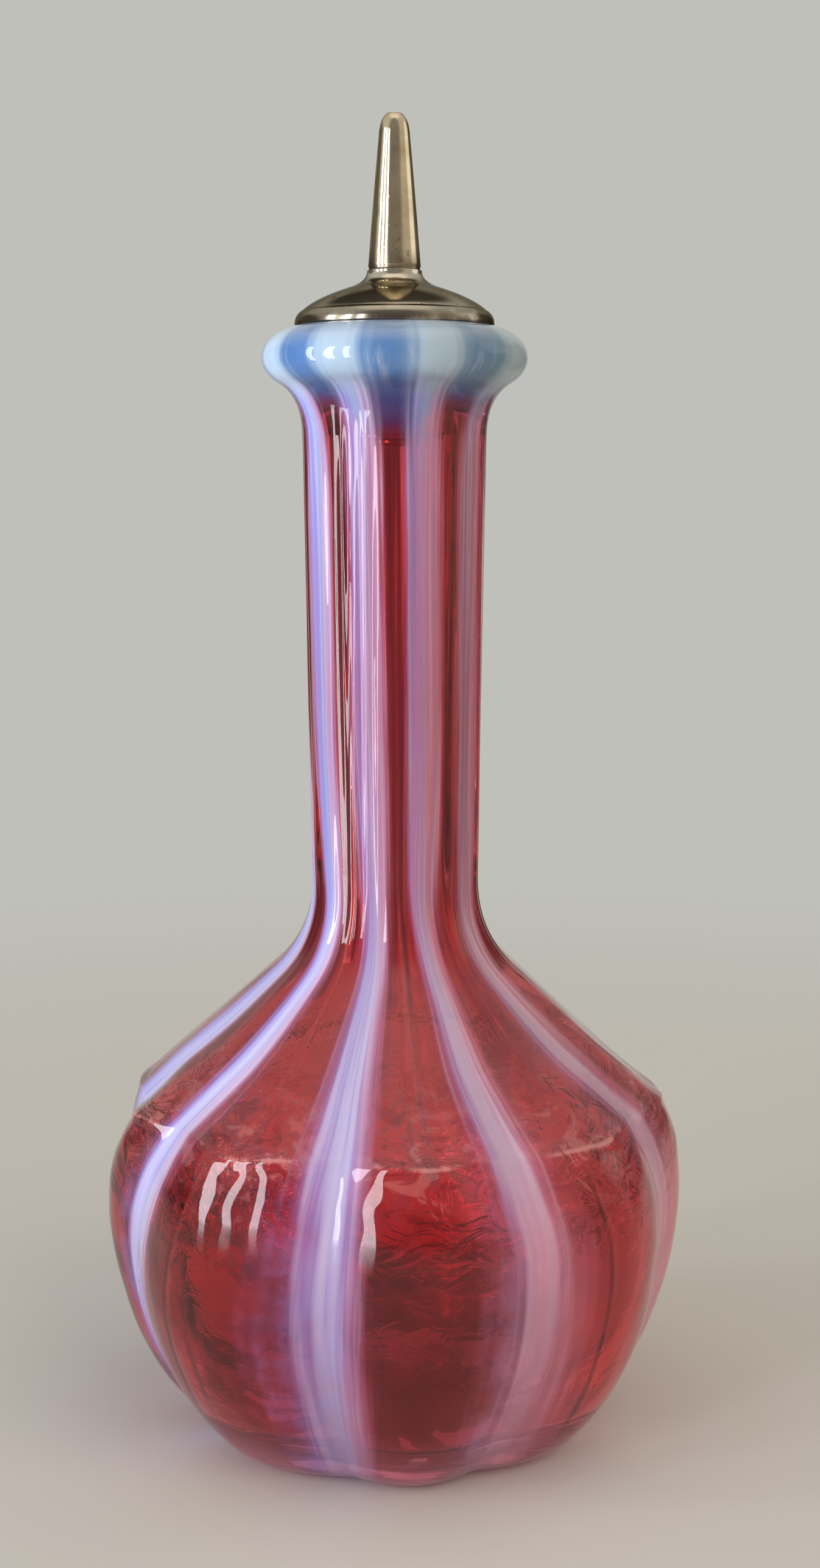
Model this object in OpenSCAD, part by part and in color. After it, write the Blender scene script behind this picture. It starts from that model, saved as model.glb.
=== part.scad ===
// Barber bottle: a blown, melon-lobed glass bottle with a corked metal pourer.
// Millimetres. The origin is the middle of the standing face, and +Z is up.

/* [Glass bottle] */
// Height of the glass, from the standing face to the flat top of the lip
glass_h = 176.7; // [150:0.1:210]
// Greatest width, over the crests of two opposite lobes
belly_d = 93.4; // [84:0.1:110]
// Height of the greatest width
belly_z = 38.5; // [28:0.5:44]
// Width of the standing face, over the crests
foot_d = 61; // [48:0.5:68]
// Width at the corner between belly and shoulder, over the crests
shoulder_d = 86; // [70:0.5:90]
// Height of the corner between belly and shoulder
shoulder_z = 55; // [50:0.5:64]
// Height at which the shoulder's cone would meet the neck
neck_root_z = 81.3; // [76:0.1:95]
// Length of the concave sweep from shoulder to neck, each way from that point
root_sweep = 8.5; // [6:0.5:14]
// Width of the neck at its foot
neck_root_d = 26.7; // [25.5:0.1:32]
// Width of the neck under the lip
neck_top_d = 29; // [26:0.1:34]
// Width of the rolled lip
lip_d = 41.6; // [37:0.1:50]
// Height from the widest part of the lip to its flat top
lip_rise = 4.8; // [3:0.1:7]
// Length of the cove between the neck and the underside of the lip
cove_h = 8.5; // [5:0.5:14]
// Bore of the neck
bore_d = 19.2; // [15:0.1:21]
// Thickness of the glass, measured in from the creases
wall_t = 3.2; // [2:0.1:5]
// Thickness of the glass in the middle of the bottom
floor_t = 6; // [5:0.1:12]
// Height over which the floor turns up into the wall, inside
floor_edge = 2; // [1:0.5:4]
// Width of the hollow ground into the standing face
kick_d = 32; // [20:1:40]
// Depth of that hollow
kick_h = 2; // [1:0.1:3.5]

/* [Melon lobes] */
// Number of lobes
lobe_count = 9; // [6:1:12]
// Depth of the creases at the widest part of the belly
lobe_depth = 2.8; // [1:0.1:4]
// Depth of the creases at the standing face
foot_lobe_depth = 2.4; // [0.5:0.1:4]
// Depth of the creases where the shoulder has smoothed them
shoulder_lobe_depth = 1.3; // [0.4:0.1:3]
// Height above the corner at which the shoulder has smoothed them
shoulder_ease = 7; // [4:0.5:10]
// Depth of the faint flutes that run up the neck
flute_depth = 0.35; // [0.1:0.05:0.8]

/* [Cork] */
// Length of the cork
cork_l = 16.4; // [10:0.1:30]
// Gap between the cork and the bore of the neck, all round
cork_fit = 0.05; // [0.02:0.01:0.09]
// Gap between the cork's hole and the stem, all round
stem_fit = 0.05; // [0.02:0.01:0.09]

/* [Pourer] */
// Width of the dome, which is also the width of the lip's flat top
dome_d = 31.1; // [28:0.1:34]
// Height of the dome, up to where its collar begins
dome_h = 5.9; // [4.5:0.1:9]
// Height of the dome's straight rim, which is also the thickness of its flat base
rim_h = 0.7; // [0.4:0.1:1.2]
// How far the dome's side leans in before it turns over
dome_lean = 0.95; // [0.5:0.05:2]
// Thickness of the dome's metal
dome_t = 0.8; // [0.6:0.1:1.2]
// Height of the collar above the dome
collar_h = 2.6; // [2:0.1:5]
// How far the cove at the foot of the collar spreads over the dome
collar_flare = 2.6; // [1.5:0.1:4]
// Thickness of the collar's metal at its top
collar_t = 0.45; // [0.3:0.05:0.8]
// Width of the spout at its base
spout_base_d = 8.2; // [7.6:0.1:10]
// Width of the spout just under its rounded tip
spout_tip_d = 4.7; // [4:0.1:6]
// Length of the spout's rounded tip
tip_round = 2; // [1:0.1:3]
// Thickness of the spout's metal at its tip
spout_t = 0.7; // [0.4:0.05:0.9]
// Height of the spout above the collar
spout_h = 23.6; // [15:0.1:40]
// Width of the pouring hole in the tip
spout_hole_d = 1.8; // [1:0.1:2.4]
// Width of the stem tube
stem_d = 6; // [5:0.1:6.4]
// Thickness of the stem's metal
stem_t = 0.7; // [0.4:0.05:0.9]
// Length of stem that is pressed into the spout
stem_grip = 4; // [2:0.5:8]
// Width of the washer under the cork
washer_d = 15; // [12:0.1:18]
// Thickness of that washer
washer_t = 0.8; // [0.5:0.1:1.5]
// Width of the end of the stem, spread to hold the washer
swage_d = 8; // [7.4:0.1:9]
// Length of that spread end
swage_l = 0.9; // [0.6:0.1:2]
// Gap between soldered or pressed metal pieces, all round
metal_fit = 0.02; // [0.01:0.01:0.05]

/* [Hidden] */
$fn = 96;
// More than enough to carry a cut through a face
past = 1;

// Outline of the bottle over a crest, as [radius, height] points
belly_turn = 62;
corner_turn = 50;
lip_under = 50;
lip_over = 73;
steps_round = 10;
steps_short = 6;
belly_r = belly_d / 2;
shoulder_r = shoulder_d / 2;
neck_r = neck_root_d / 2;
neck_top_r = neck_top_d / 2;
lip_r = lip_d / 2;
land_r = dome_d / 2;
lip_z = glass_h - lip_rise;
lip_a = (lip_r - land_r) / (1 - cos(lip_over));
lip_b = lip_rise / sin(lip_over);
under_p = [lip_r - lip_a * (1 - cos(lip_under)), lip_z - lip_b * sin(lip_under)];
under_slope = lip_b * cos(lip_under) / (lip_a * sin(lip_under));
cove_p = [neck_top_r, under_p[1] - cove_h];
cove_mid = [neck_top_r, under_p[1] - under_slope * (under_p[0] - neck_top_r)];
corner_p = [shoulder_r, shoulder_z];
root_p = [neck_r, neck_root_z];
cone_l = norm(corner_p - root_p);
sweep_start = root_p + (corner_p - root_p) * root_sweep / cone_l;
sweep_end = [neck_r, neck_root_z + root_sweep];

// An arc of an ellipse whose outermost point is [r, z], between two angles
function bulge(r, z, a, b, from, to, n) =
    [for (i = [0 : n]) let (t = from + (to - from) * i / n) [r - a * (1 - cos(t)), z + b * sin(t)]];
// A curve from p to q that leaves and arrives along the lines through mid
function bend(p, mid, q, n) =
    [for (i = [0 : n]) let (t = i / n) (1 - t) * (1 - t) * p + 2 * t * (1 - t) * mid + t * t * q];

belly_low = bulge(
    belly_r, belly_z,
    (belly_r - foot_d / 2) / (1 - cos(belly_turn)), belly_z / sin(belly_turn),
    -belly_turn, 0, steps_round);
belly_high = bulge(
    belly_r, belly_z,
    (belly_r - shoulder_r) / (1 - cos(corner_turn)), (shoulder_z - belly_z) / sin(corner_turn),
    corner_turn / steps_short, corner_turn, steps_short - 1);
root_curve = bend(sweep_start, root_p, sweep_end, steps_short);
cove_curve = bend(cove_p, cove_mid, under_p, steps_short);
lip_roll = bulge(
    lip_r, lip_z, lip_a, lip_b,
    -lip_under + (lip_under + lip_over) / steps_round, lip_over, steps_round - 1);
outline = concat(belly_low, belly_high, root_curve, cove_curve, lip_roll);

// Depth of the creases at a height
function crease(z) = lookup(z, [
    [0, foot_lobe_depth],
    [belly_z, lobe_depth],
    [shoulder_z, lobe_depth],
    [shoulder_z + shoulder_ease, shoulder_lobe_depth],
    [sweep_end[1], flute_depth],
    [cove_p[1], flute_depth],
    [under_p[1], 0]]);
// How far each crease has strayed from an even spacing, in degrees, as blown glass does
crease_strays = [1, 1, 5, 4, 4, 4, 2, -4, -10];
// Direction of a crease, counted from the front, at -Y, towards +X
function crease_at(k) =
    (k - 0.5) * 360 / lobe_count + crease_strays[k % lobe_count % len(crease_strays)];
// How far a place across a lobe is up it: 1 on the crest and 0 in a crease, which is a soft V
crease_soft = 0.18;
function swell(share) = let (c = sin(180 * share))
    (sqrt(c * c + crease_soft * crease_soft) - crease_soft)
    / (sqrt(1 + crease_soft * crease_soft) - crease_soft);
sides_per_lobe = 10;
sides = sides_per_lobe * lobe_count;
// Each side's direction, and how far it is up its lobe
turns = [for (k = [0 : lobe_count - 1], j = [0 : sides_per_lobe - 1])
    let (share = j / sides_per_lobe)
    [crease_at(k) + share * (crease_at(k + 1) - crease_at(k)) - 90, swell(share)]];

// The outside of the glass, closed flat at the standing face and at the lip
module glass_skin() {
    last = len(outline) - 1;
    rings = [for (p = outline, turn = turns)
        let (r = p[0] - crease(p[1]) * (1 - turn[1]))
        [r * cos(turn[0]), r * sin(turn[0]), p[1]]];
    low = len(rings);
    walls = [for (k = [0 : last - 1], i = [0 : sides - 1], half = [0, 1])
        let (a = k * sides + i, b = k * sides + (i + 1) % sides)
        half == 0 ? [a, a + sides, b] : [b, a + sides, b + sides]];
    ends = [for (i = [0 : sides - 1], end = [0, 1])
        let (j = (i + 1) % sides, top = last * sides)
        end == 0 ? [low, i, j] : [low + 1, top + j, top + i]];
    polyhedron(concat(rings, [[0, 0, 0], [0, 0, glass_h]]), concat(walls, ends), convexity = 6);
}

// The inside of the glass: the same curves, a wall further in, and a plain bore up the neck
bore_r = bore_d / 2;
floor_r = foot_d / 2 - foot_lobe_depth - wall_t;
inside = [for (p = concat(belly_low, belly_high, root_curve))
    let (r = p[0] - crease(p[1]) - wall_t)
    if (p[1] > floor_t + floor_edge && r > bore_r) [r, p[1]]];
module glass_cavity() {
    rotate_extrude()
        polygon(concat(
            [[0, floor_t], [floor_r, floor_t]],
            inside,
            [[bore_r, sweep_end[1]], [bore_r, glass_h + past], [0, glass_h + past]]));
}

// A shallow round hollow under the bottom, so that the bottle stands on a ring
module glass_kick() {
    kick_r = (kick_d * kick_d / 4 + kick_h * kick_h) / (2 * kick_h);
    translate([0, 0, kick_h - kick_r])
        sphere(r = kick_r);
}

module bottle() {
    color("#a02a3c")
        difference() {
            glass_skin();
            glass_cavity();
            glass_kick();
        }
}

// Heights up the stopper
seat_z = glass_h;
cork_low_z = seat_z - cork_l;
washer_z = cork_low_z - washer_t;
dome_z = seat_z + dome_h;
collar_z = dome_z + collar_h;
spout_low_z = dome_z - dome_t;
stem_top_z = spout_low_z + stem_grip;
tip_z = collar_z + spout_h;

// A tube between two heights
module tube(outer_d, inner_d, low, high) {
    translate([0, 0, low])
        difference() {
            cylinder(d = outer_d, h = high - low);
            translate([0, 0, -past])
                cylinder(d = inner_d, h = high - low + 2 * past);
        }
}

module cork() {
    color("#a87d52")
        tube(bore_d - 2 * cork_fit, stem_d + 2 * stem_fit, cork_low_z, seat_z);
}

module cork_washer() {
    color("#b9b3a4")
        tube(washer_d, stem_d + 2 * metal_fit, washer_z, cork_low_z);
}

module pourer_stem() {
    color("#b9b3a4")
        difference() {
            union() {
                translate([0, 0, washer_z - swage_l])
                    cylinder(d = stem_d, h = stem_top_z - washer_z + swage_l);
                translate([0, 0, washer_z - swage_l])
                    cylinder(d = swage_d, h = swage_l);
            }
            translate([0, 0, washer_z - swage_l - past])
                cylinder(d = stem_d - 2 * stem_t, h = stem_top_z - washer_z + swage_l + 2 * past);
        }
}

// The dome: a shallow spun cap with a flat turned-in base and a collar that holds the spout
hole_r = spout_base_d / 2 + metal_fit;
collar_r = hole_r + collar_t;
flare_r = collar_r + collar_flare;
turn_share = 0.6;
turn_p = [land_r - dome_lean, seat_z + turn_share * dome_h];
flare_p = [flare_r, dome_z];
flare_mid = [collar_r, dome_z + (dome_z - turn_p[1]) * collar_flare / (turn_p[0] - flare_r)];
// The dome's side, a thickness in from its outside
function dome_side(t) =
    bend([land_r - t, seat_z + rim_h], turn_p - [t, t], flare_p - [0, t], steps_round);
module pourer_dome() {
    curve = bend(flare_p, flare_mid, [collar_r, collar_z], steps_short);
    flare = [for (i = [1 : steps_short]) curve[i]];
    color("#c4bca8")
        difference() {
            rotate_extrude()
                polygon(concat([[0, seat_z], [land_r, seat_z]], dome_side(0), flare, [[0, collar_z]]));
            rotate_extrude()
                polygon(concat([[0, seat_z + rim_h]], dome_side(dome_t), [[0, dome_z - dome_t]]));
            translate([0, 0, seat_z - past])
                cylinder(r = hole_r, h = collar_z - seat_z + 2 * past);
        }
}

// The spout: a tapered tube with a round tip, closed but for the pouring hole
module pourer_spout() {
    tip_r = spout_tip_d / 2;
    base_r = spout_base_d / 2;
    round_z = tip_z - tip_round;
    bore_top_r = tip_r - spout_t;
    outside = concat(
        [[base_r, spout_low_z], [base_r, collar_z]],
        bend([tip_r, round_z], [tip_r, tip_z], [spout_hole_d / 2, tip_z], steps_short));
    color("#c4bca8")
        rotate_extrude()
            polygon(concat(
                outside,
                [[spout_hole_d / 2, round_z], [bore_top_r, round_z - tip_r],
                    [stem_d / 2 + metal_fit, stem_top_z], [stem_d / 2 + metal_fit, spout_low_z]]));
}

bottle();
cork();
cork_washer();
pourer_stem();
pourer_dome();
pourer_spout();
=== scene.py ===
import math

import bpy
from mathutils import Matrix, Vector, noise


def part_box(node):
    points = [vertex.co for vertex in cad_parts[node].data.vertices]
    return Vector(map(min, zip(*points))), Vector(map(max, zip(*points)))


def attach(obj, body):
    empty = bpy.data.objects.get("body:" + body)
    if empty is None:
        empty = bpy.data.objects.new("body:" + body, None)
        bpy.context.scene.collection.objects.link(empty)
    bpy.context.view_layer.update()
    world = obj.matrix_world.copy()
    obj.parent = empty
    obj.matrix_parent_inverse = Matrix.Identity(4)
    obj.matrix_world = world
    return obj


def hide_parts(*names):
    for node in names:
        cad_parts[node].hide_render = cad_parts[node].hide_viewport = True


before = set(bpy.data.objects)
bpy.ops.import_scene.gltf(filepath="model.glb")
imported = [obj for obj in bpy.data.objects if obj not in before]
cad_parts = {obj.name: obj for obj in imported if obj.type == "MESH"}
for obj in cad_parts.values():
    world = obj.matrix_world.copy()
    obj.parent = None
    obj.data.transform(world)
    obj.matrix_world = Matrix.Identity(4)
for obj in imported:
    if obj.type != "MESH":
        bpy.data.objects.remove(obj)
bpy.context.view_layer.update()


# The bottle: one gather of clear glass cased in gold ruby, pressed in a ribbed mould so that the thick ribs
# strike milky when they are warmed again, then blown out in a melon mould and drawn up into the neck. The
# ribs end up in the creases between the lobes, and the rolled lip has struck nearly white all round.
MM = 0.001
glass_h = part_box("bottle")[1].z
belly_r, belly_z = 46.7 * MM, 38.5 * MM
foot_r = 30.5 * MM
shoulder_r, shoulder_z = 43 * MM, 55 * MM
neck_r, neck_root_z, root_sweep = 13.35 * MM, 81.3 * MM, 8.5 * MM
neck_top_r = 14.5 * MM
lip_r, lip_rise, cove_h = 20.8 * MM, 4.8 * MM, 8.5 * MM
land_r = 15.55 * MM
bore_r = 9.6 * MM
wall_t = 3.2 * MM
floor_t, floor_r = 6 * MM, 24.9 * MM
kick_r, kick_h = 16 * MM, 2 * MM
foot_round, mouth_round = 3 * MM, 0.7 * MM
inner_share = 0.7
crease_soft = 0.18
sides_per_lobe = 36

# Each rib's direction in degrees, from the front towards +X, at these heights in millimetres
rib_heights = (10, 28, 40, 48, 56, 66, 78, 90, 112, 156, 171)
ribs = [
    (-104, -104, -101, -95, -87, -79, -78, -86, -97, -101, -113),
    (-76, -76, -71, -66, -60, -53, -50, -53, -59, -61, -72),
    (-19, -20, -19, -18, -17, -17, -17, -19, -22, -26, -31),
    (19, 22, 22, 20, 18, 15, 15, 12, 14, 12, 13),
    (68, 68, 67, 63, 58, 50, 48, 52, 52, 50, 62),
    (104, 105, 105, 104, 101, 96, 91, 92, 92, 92, 100),
    (143, 144, 145, 144, 142, 139, 135, 134, 133, 134, 139),
    (185, 184, 184, 184, 183, 180, 177, 175, 175, 175, 178),
    (223, 222, 222, 221, 220, 218, 216, 216, 217, 217, 214)]
lobe_count = len(ribs)
front_lobe = 2.5


def bulge(r, z, a, b, start, end, steps):
    """An arc of an ellipse whose outermost point is (r, z), between two angles in degrees."""
    turns = [math.radians(start + (end - start) * i / steps) for i in range(steps + 1)]
    return [(r - a * (1 - math.cos(t)), z + b * math.sin(t)) for t in turns]


def half_axes(fall, rise, turn):
    """The half axes of an ellipse that falls in and rises by these lengths within a turn in degrees."""
    return fall / (1 - math.cos(math.radians(turn))), rise / math.sin(math.radians(turn))


def bend(p, mid, q, steps):
    """A curve from p to q that leaves and arrives along the lines through mid."""
    shares = [i / steps for i in range(steps + 1)]
    return [
        tuple((1 - t) ** 2 * p[k] + 2 * t * (1 - t) * mid[k] + t * t * q[k] for k in (0, 1))
        for t in shares]


def lookup(z, table):
    """The value at z between the points of a table, as straight lines."""
    if z <= table[0][0]:
        return table[0][1]
    for (z0, v0), (z1, v1) in zip(table, table[1:]):
        if z <= z1:
            return v0 + (v1 - v0) * (z - z0) / (z1 - z0)
    return table[-1][1]


def trail(z, heights, values):
    """The value at z on a smooth curve through the points."""
    last = len(heights) - 1
    if z <= heights[0] or z >= heights[last]:
        return values[0] if z <= heights[0] else values[last]

    def slope(n):
        """How steep the curve is at a point, from the points beside it."""
        low, high = max(n - 1, 0), min(n + 1, last)
        return (values[high] - values[low]) / (heights[high] - heights[low])

    i = max(n for n in range(last) if heights[n] <= z)
    span = heights[i + 1] - heights[i]
    t = (z - heights[i]) / span
    return (values[i] * (1 + 2 * t) * (1 - t) ** 2 + values[i + 1] * t * t * (3 - 2 * t)
            + span * (slope(i) * t * (1 - t) ** 2 - slope(i + 1) * t * t * (1 - t)))


belly_turn, corner_turn, lip_under, lip_over = 62, 50, 50, 73
lip_z = glass_h - lip_rise
lip_a, lip_b = half_axes(lip_r - land_r, lip_rise, lip_over)
lip_run = bulge(lip_r, lip_z, lip_a, lip_b, -lip_under, lip_over, steps=26)
under = lip_run[0]
under_slope = lip_b / lip_a / math.tan(math.radians(lip_under))
cove_low = (neck_top_r, under[1] - cove_h)
cove_mid = (neck_top_r, under[1] - under_slope * (under[0] - neck_top_r))
cone = Vector((shoulder_r - neck_r, shoulder_z - neck_root_z)).normalized()
sweep_low = (neck_r + cone[0] * root_sweep, neck_root_z + cone[1] * root_sweep)
sweep_high = (neck_r, neck_root_z + root_sweep)

low_axes = half_axes(belly_r - foot_r, belly_z, belly_turn)
belly_low = bulge(belly_r, belly_z, *low_axes, -belly_turn, 0, steps=32)
high_axes = half_axes(belly_r - shoulder_r, shoulder_z - belly_z, corner_turn)
belly_high = bulge(belly_r, belly_z, *high_axes, 0, corner_turn, steps=24)
shoulder = (shoulder_r, shoulder_z)
cone_run = bend(shoulder, shoulder, sweep_low, steps=28)
root_run = bend(sweep_low, (neck_r, neck_root_z), sweep_high, steps=14)
neck_mid = ((neck_r + neck_top_r) / 2, (sweep_high[1] + cove_low[1]) / 2)
neck_run = bend(sweep_high, neck_mid, cove_low, steps=26)
cove_run = bend(cove_low, cove_mid, under, steps=14)
body_run = belly_low + belly_high[1:] + cone_run[1:] + root_run[1:]

# How deep the creases between the lobes are, by height
crease_table = [
    (0, 2.4 * MM), (belly_z, 2.8 * MM), (shoulder_z, 2.8 * MM), (shoulder_z + 7 * MM, 1.3 * MM),
    (sweep_high[1], 0.35 * MM), (cove_low[1], 0.35 * MM), (under[1], 0)]

# The outside from the middle of the hollow bottom to the edge of the mouth, then the inside down to the floor
kick_steps = 8
kick_run = [
    (kick_r * i / kick_steps, kick_h * (1 - (i / kick_steps) ** 2)) for i in range(1, kick_steps + 1)]
foot_edge = next(p for p in belly_low if p[1] > foot_round)
foot_run = bend((foot_edge[0] - 2 * foot_round, 0), (foot_r, 0), foot_edge, steps=8)
mouth_foot = (bore_r, glass_h - mouth_round)
mouth_run = bend((bore_r + mouth_round, glass_h), (bore_r, glass_h), mouth_foot, steps=4)
outside = kick_run + foot_run + [p for p in body_run if p[1] > foot_edge[1]]
outside += neck_run[1:] + cove_run[1:] + lip_run[1:] + mouth_run[:3]
inside = [p for p in body_run if p[1] > floor_t + foot_round]
inside = [(p[0] - lookup(p[1], crease_table) - wall_t, p[1]) for p in inside]
bore_sweep = 9 * MM
inside = [p for p in inside if p[0] > bore_r + bore_sweep]
floor_start, floor_mid = (floor_r - 2 * foot_round, floor_t), (floor_r + foot_round, floor_t)
floor_run = bend(floor_start, floor_mid, inside[0], steps=10)
bore_root, bore_foot = (bore_r, neck_root_z - 3 * MM), (bore_r, neck_root_z + 22 * MM)
bore_mid = (bore_r, neck_root_z * 1.6)
bore_run = bend(inside[-1], bore_root, bore_foot, steps=16)
bore_run += bend(bore_foot, bore_mid, mouth_foot, steps=18)[1:]
lining = mouth_run[2:4] + list(reversed(floor_run + inside[1:] + bore_run[1:]))
lining += [(floor_r * share, floor_t) for share in (0.6, 0.4, 0.2)]


def swell(share):
    """How far a place across a lobe is up it: 1 on the crest and 0 in a crease, which is a soft V."""
    c = math.sin(math.pi * share)
    top = math.sqrt(1 + crease_soft ** 2) - crease_soft
    return (math.sqrt(c * c + crease_soft ** 2) - crease_soft) / top


def hill(value, middle, width):
    """1 at the middle, falling away smoothly on both sides."""
    return math.exp(-((value - middle) / width) ** 2)


def skin_stray(a, z, r, share):
    """How far the outside strays from its mould. Its forms are in millimetres until the end."""
    spot = Vector((r * math.sin(a), r * math.cos(a), z))
    lines_round, line_length = 11, 0.07
    spin = Vector((lines_round * math.sin(a), lines_round * math.cos(a), z / line_length))
    away = min(share, 1 - share)
    drawn = lookup(z, [(0.06, 0), (0.09, 1), (0.155, 1), (0.165, 0)])
    raised = lookup(z, [(0.052, 0), (0.066, 1), (0.155, 1), (0.165, 0)])
    pleated = lookup(z, [(0.052, 0), (0.055, 1), (0.07, 0.6), (0.08, 0)])
    turn = math.degrees(a)
    turn -= 360 * round(turn / 360)
    ripples = 0.13 * noise.noise(spot / 0.0065) + 0.12 * noise.noise(spot / 0.017)
    drawn_lines = 0.3 * noise.noise(spin) + 0.03 * noise.noise(2 * spin)
    rib = 0.2 * raised * hill(away, 0, 0.16)
    pinch = 0.46 * hill(z, shoulder_z, 1 * MM) * hill(share, 0.5, 0.28)
    crumple = 0.1 * hill(z, shoulder_z - 3 * MM, 9 * MM) * noise.noise(spot / 0.0034)
    pleat = 0.18 * hill(share, 0.5, 0.03) * pleated
    left_swell = 0.8 * hill(turn, -84, 12) * hill(z, 0.062, 0.006)
    right_hollow = 0.9 * hill(turn, 84, 14) * hill(z, 0.063, 0.007)
    rippled = 1 - 0.85 * drawn
    stray = rippled * ripples + drawn * drawn_lines + rib + pinch + crumple + pleat
    return (stray + (left_swell - right_hollow)) * MM


def corner_sway(a, z):
    """How far the corner under the shoulder rises and falls on its way round."""
    sway_h, sways_round = 1.1 * MM, 4
    spot = Vector((sways_round * math.sin(a), sways_round * math.cos(a), 0))
    return sway_h * noise.noise(spot) * hill(z, shoulder_z, 7 * MM)


def lining_stray(a, z, r):
    """How far the inside strays: no mould touched it, so it lies in soft waves, crumpled at the corner."""
    spot = Vector((r * math.sin(a), r * math.cos(a), z))
    calm = lookup(z, [(floor_t, 0), (0.012, 1), (0.075, 1), (0.09, 0.15), (0.15, 0.1), (0.156, 0)])
    crumpled = hill(z, 0.056, 0.008)
    waves = 0.5 * noise.noise(spot / 0.012) + (0.06 + 0.5 * crumpled) * noise.noise(spot / 0.0048)
    return calm * waves * MM


def as_piece(name, points, faces):
    """A new object of these points and faces, shaded smooth, in the scene."""
    mesh = bpy.data.meshes.new(name)
    mesh.from_pydata(points, [], faces)
    mesh.shade_smooth()
    piece = bpy.data.objects.new(name, mesh)
    bpy.context.scene.collection.objects.link(piece)
    return piece


def blown(name, outer, inner):
    """The closed glass wall: rings of points along both outlines, closed by a point at each end.

    Each point is marked with its turn round the ribs, as a cosine and a sine, and with its ring's height.
    """
    points, turns = [(0, 0, kick_h)], [(1, 0, kick_h)]
    for k, (r, z) in enumerate(outer + inner):
        outer_ring = k < len(outer)
        depth = lookup(z, crease_table) * (1 if outer_ring else inner_share)
        reach = r if outer_ring else r + depth
        if k < len(kick_run):
            depth *= r / foot_r
        if not outer_ring and r <= bore_r * 1.0001:
            reach, depth = r, 0
        lines = [trail(z / MM, rib_heights, rib) for rib in ribs]
        lines.append(lines[0] + 360)
        for n in range(lobe_count):
            for j in range(sides_per_lobe):
                share = j / sides_per_lobe
                a = math.radians(lines[n] + share * (lines[n + 1] - lines[n]))
                here = reach - depth * (1 - swell(share))
                here += skin_stray(a, z, here, share) if outer_ring and k > len(kick_run) else 0
                here += lining_stray(a, z, here) if not outer_ring else 0
                lift = corner_sway(a, z) if outer_ring else 0
                points.append((here * math.sin(a), -here * math.cos(a), z + lift))
                turn = 2 * math.pi * (n + share - front_lobe) / lobe_count
                turns.append((math.cos(turn), math.sin(turn), z))
    points.append((0, 0, floor_t))
    turns.append((1, 0, floor_t))
    sides, rows = lobe_count * sides_per_lobe, len(outer) + len(inner)
    faces = []
    for k in range(rows - 1):
        for i in range(sides):
            j = (i + 1) % sides
            low, high = 1 + k * sides, 1 + (k + 1) * sides
            faces.append((low + i, low + j, high + j, high + i))
    last = 1 + (rows - 1) * sides
    faces += [(0, 1 + (i + 1) % sides, 1 + i) for i in range(sides)]
    faces += [(len(points) - 1, last + i, last + (i + 1) % sides) for i in range(sides)]
    piece = as_piece(name, points, faces)
    marks = piece.data.attributes.new("rib_turn", "FLOAT_VECTOR", "POINT")
    marks.data.foreach_set("vector", [v for turn in turns for v in turn])
    for n, face in enumerate(piece.data.polygons):
        row = n // sides
        lined = len(outer) - 1 <= row < rows - 1 or row == rows
        face.material_index = int(lined)
    return piece


def paint(code):
    """A colour written as it looks on a screen, as the linear values that shaders take."""
    levels = [int(code[i:i + 2], 16) / 255 for i in (0, 2, 4)]
    return (*[v / 12.92 if v <= 0.04045 else ((v + 0.055) / 1.055) ** 2.4 for v in levels], 1)


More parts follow.
